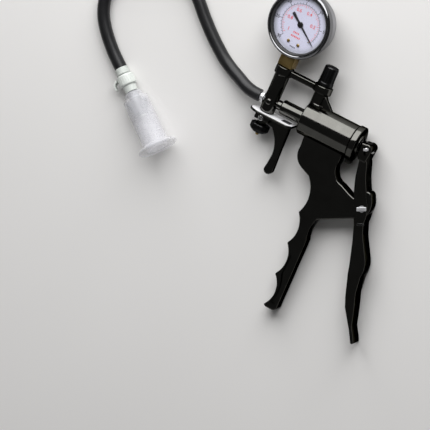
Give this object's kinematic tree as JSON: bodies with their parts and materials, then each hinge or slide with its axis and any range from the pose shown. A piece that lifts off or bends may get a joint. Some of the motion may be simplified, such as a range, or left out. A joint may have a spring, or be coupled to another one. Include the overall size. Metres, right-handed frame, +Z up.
{
  "type": "hand vacuum pump",
  "caption": "Hand-held vacuum pump with a pistol grip, squeeze lever, dial gauge on a front column, release trigger, short hose and a push-on suction cup.",
  "frame": {"origin": "bottom centre of the pump's box, without the hose and what hangs on it; the pump lies on its right side", "axes": "+X along the cylinder to the rear, +Y from the grip's foot up to the gauge, +Z up out of the dial"},
  "size_m": [0.2799, 0.2215, 0.03],
  "materials": {
    "black_paint": "gloss black enamel on a die casting",
    "black_plastic": "black moulded plastic with a soft sheen",
    "steel": "bright plated steel",
    "chrome": "polished chrome plate",
    "brass": "dull machined brass",
    "rubber": "matt black rubber",
    "hose_rubber": "smooth black hose with a dull sheen",
    "white_enamel": "printed white dial, satin",
    "glass": "clear gauge window",
    "clear_plastic": "frosted clear plastic",
    "white_plastic": "white moulded plastic"
  },
  "bodies": {
    "body": {"bezel_gasket": "rubber", "body_casting": "black_paint", "bourdon_tube": "brass", "bridge": "black_paint", "connector_body": "white_plastic", "cylinder_liner": "brass", "dial_screw_left": "brass", "dial_screw_right": "brass", "gauge_bezel": "chrome", "gauge_case": "chrome", "gauge_dial": "white_enamel", "gauge_lens": "glass", "gauge_stem": "brass", "hose": "hose_rubber", "hose_collar": "white_plastic", "hose_nozzle": "black_paint", "inlet_valve_retainer": "brass", "inlet_valve_spring": "steel", "movement_plate": "brass", "needle_stop": "brass", "pivot_clip": "steel", "pivot_pin": "steel", "port_tube": "black_paint", "rear_cap": "black_paint", "return_spring": "steel", "rod_wiper": "rubber", "side_plug": "steel", "trigger_screw_left": "steel", "trigger_screw_right": "steel", "valve_column": "black_paint", "valve_nut": "black_plastic"},
    "piston_unit": {"piston": "black_plastic", "piston_seal": "rubber", "exhaust_flap": "rubber", "piston_rod": "steel", "rod_end": "steel", "wrist_pin": "steel"},
    "lever": {"lever": "black_paint"},
    "needle": {"needle": "black_plastic"},
    "vent_knob": {"vent_knob": "black_plastic"},
    "trigger": {"release_trigger": "black_plastic"},
    "release_stem": {"release_stem": "brass"},
    "inlet_disc": {"inlet_valve_disc": "rubber"},
    "latch": {"latch_tab": "white_plastic"},
    "cup": {"cup": "clear_plastic", "cup_valve_sleeve": "clear_plastic"},
    "cup_poppet": {"cup_valve_poppet": "white_plastic"}
  },
  "joints": [
    {"name": "lever_squeeze", "type": "hinge", "parent": "body", "child": "lever", "pos_m": [0.04343, -0.01337, 0.01181], "axis": [0.0197, 0.0532, -0.9984], "range_deg": [0, 26], "stiffness_Nm_per_rad": 0.5, "springref_deg": -28.65},
    {"name": "piston_stroke", "type": "slide", "parent": "body", "child": "piston_unit", "axis": [0.9998, -0.001, 0.0197], "range_m": [0, 0.0191], "deforming": ["return_spring"]},
    {"name": "trigger_pull", "type": "hinge", "parent": "body", "child": "trigger", "pos_m": [-0.05196, 0.0124, 0.0113], "axis": [-0.0197, -0.0532, 0.9984], "range_deg": [0, 7], "stiffness_Nm_per_rad": 0.3, "springref_deg": -8.59},
    {"name": "release_stem_drop", "type": "slide", "parent": "body", "child": "release_stem", "axis": [0, -0.9986, -0.0532], "range_m": [0, 0.00122]},
    {"name": "needle_turn", "type": "hinge", "parent": "body", "child": "needle", "pos_m": [-0.05287, 0.086, 0.02258], "axis": [-0.1241, -0.0528, 0.9909], "range_deg": [0, 262], "stiffness_Nm_per_rad": 0.0002, "springref_deg": -28.65},
    {"name": "vent_knob_turn", "type": "hinge", "parent": "body", "child": "vent_knob", "pos_m": [-0.02036, 0.05331, 0.01411], "axis": [0, 0.9986, 0.0532], "range_deg": [0, 180]},
    {"name": "inlet_disc_lift", "type": "slide", "parent": "body", "child": "inlet_disc", "axis": [0.9998, -0.001, 0.0197], "range_m": [0, 0.0012], "stiffness_N_per_m": 20, "springref_m": -0.002, "deforming": ["inlet_valve_spring"]},
    {"name": "latch_press", "type": "hinge", "parent": "body", "child": "latch", "pos_m": [-0.16316, -0.01403, 0.00648], "axis": [-0.1179, 0.0864, 0.9893], "range_deg": [0, 12], "stiffness_Nm_per_rad": 0.05, "springref_deg": -11.46},
    {"name": "cup_pull", "type": "slide", "parent": "body", "child": "cup", "axis": [0.7979, -0.5847, 0.1462], "range_m": [0, 0.03]},
    {"name": "cup_poppet_lift", "type": "slide", "parent": "cup", "child": "cup_poppet", "axis": [0.7979, -0.5847, 0.1462], "range_m": [0, 0.002]}
  ],
  "couplings": [
    {"joint": "piston_stroke", "follows": "lever_squeeze", "m_per_rad": 0.04165},
    {"joint": "release_stem_drop", "follows": "trigger_pull", "m_per_rad": 0.0098}
  ]
}
